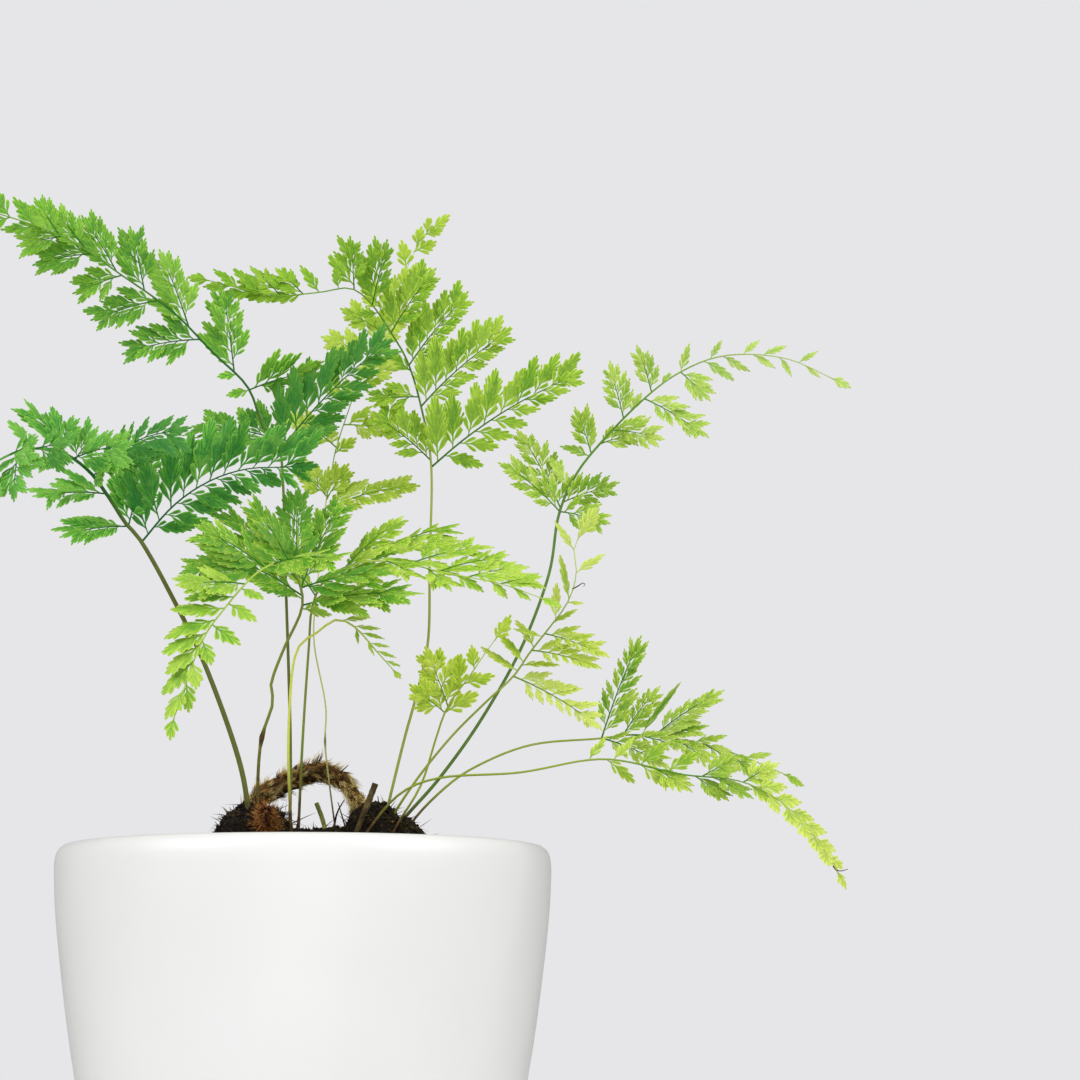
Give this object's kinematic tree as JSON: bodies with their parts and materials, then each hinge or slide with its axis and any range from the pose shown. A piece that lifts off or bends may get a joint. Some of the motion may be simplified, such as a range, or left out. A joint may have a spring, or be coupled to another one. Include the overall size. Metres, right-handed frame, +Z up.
{
  "type": "potted rabbits foot fern",
  "caption": "Potted fern with finely cut leaflets on wiry stalks and a furry creeping rhizome that arches over dark soil, in a plain white tapered pot with a rounded lip.",
  "frame": {"origin": "middle of the pot's flat foot, on the surface that the pot stands on", "axes": "+Z up along the pot's axis, +X to the right and -Y towards the viewer of the picture"},
  "size_m": [0.2709, 0.1445, 0.3192],
  "materials": {
    "pot": "satin",
    "soil": "matte",
    "fur": "matte",
    "stalk": "satin",
    "deep_leaf": "satin",
    "green_leaf": "satin",
    "fresh_leaf": "satin",
    "pale_leaf": "satin"
  },
  "bodies": {
    "root": {"frond_back_pale": "pale_leaf", "frond_centre_right": "fresh_leaf", "frond_front": "green_leaf", "frond_left": "deep_leaf", "frond_low_right_back": "fresh_leaf", "frond_low_right_front": "fresh_leaf", "frond_right_arch": "fresh_leaf", "frond_right_mid": "pale_leaf", "frond_small": "fresh_leaf", "frond_small_droop": "fresh_leaf", "frond_tall": "fresh_leaf", "frond_upper_left": "green_leaf", "pot": "pot", "rhizome_arch": "fur", "rhizome_tip": "fur", "soil": "soil", "stub_brown": "stalk", "stub_green": "stalk"}
  },
  "joints": []
}
